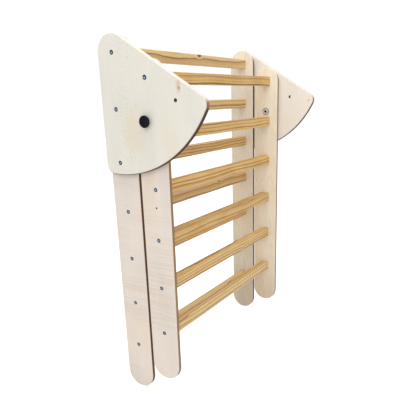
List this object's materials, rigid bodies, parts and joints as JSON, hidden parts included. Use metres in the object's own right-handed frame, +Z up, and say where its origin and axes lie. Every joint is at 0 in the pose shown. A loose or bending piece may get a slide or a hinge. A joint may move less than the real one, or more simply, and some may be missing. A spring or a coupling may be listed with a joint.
{
  "type": "folding climbing frame",
  "caption": "Folding wooden climbing triangle for toddlers, folded flat: two ladders of square rungs hung side by side from sector-shaped hinge plates.",
  "frame": {"origin": "on the floor, under the middle of the bounding box of the folded frame", "axes": "+Z up; Y along the rungs, with the right-hand pieces at -Y; +X from ladder A to ladder B, the way ladder B's feet swing out"},
  "size_m": [0.3056, 0.713, 0.959],
  "materials": {
    "birch_plywood": "pale birch plywood upright, clear matt lacquer",
    "birch_plywood_plate": "pale birch plywood hinge plate, clear matt lacquer",
    "oiled_pine": "planed pine, oiled golden",
    "zinc_steel": "zinc plated, bluish",
    "nickel_steel": "nickel plated",
    "black_plastic": "moulded, satin black"
  },
  "bodies": {
    "ladder_a": {"upright_a_right": "birch_plywood", "upright_a_left": "birch_plywood", "hinge_plate_right": "birch_plywood_plate", "hinge_plate_left": "birch_plywood_plate", "rung_a_1": "oiled_pine", "rung_a_2": "oiled_pine", "rung_a_3": "oiled_pine", "rung_a_4": "oiled_pine", "rung_a_5": "oiled_pine", "rung_a_6": "oiled_pine", "rung_a_7": "oiled_pine", "plate_screws_right": "zinc_steel", "plate_screws_left": "zinc_steel", "rung_screws_a_right": "zinc_steel", "rung_screws_a_left": "zinc_steel"},
    "ladder_b": {"upright_b_right": "birch_plywood", "upright_b_left": "birch_plywood", "rung_b_1": "oiled_pine", "rung_b_2": "oiled_pine", "rung_b_3": "oiled_pine", "rung_b_4": "oiled_pine", "rung_b_5": "oiled_pine", "rung_b_6": "oiled_pine", "rung_screws_b_right": "zinc_steel", "rung_screws_b_left": "zinc_steel", "pivot_screw_right": "zinc_steel", "pivot_screw_left": "zinc_steel", "pivot_washer_right": "zinc_steel", "pivot_washer_left": "zinc_steel", "tee_nut_right": "nickel_steel", "tee_nut_left": "nickel_steel"},
    "lock_bolt_right": {"lock_cap_right": "black_plastic", "lock_stud_right": "zinc_steel"},
    "lock_bolt_left": {"lock_cap_left": "black_plastic", "lock_stud_left": "zinc_steel"}
  },
  "joints": [
    {"name": "ladder_b_swing", "type": "hinge", "parent": "ladder_a", "child": "ladder_b", "pos_m": [-0.01483, 0, 0.857], "axis": [0, -1, 0], "range_deg": [0, 59]},
    {"name": "lock_bolt_right_travel", "type": "slide", "parent": "ladder_a", "child": "lock_bolt_right", "axis": [0, -1, 0], "range_m": [-0.0085, 0.013]},
    {"name": "lock_bolt_left_travel", "type": "slide", "parent": "ladder_a", "child": "lock_bolt_left", "axis": [0, 1, 0], "range_m": [-0.0085, 0.013]}
  ]
}
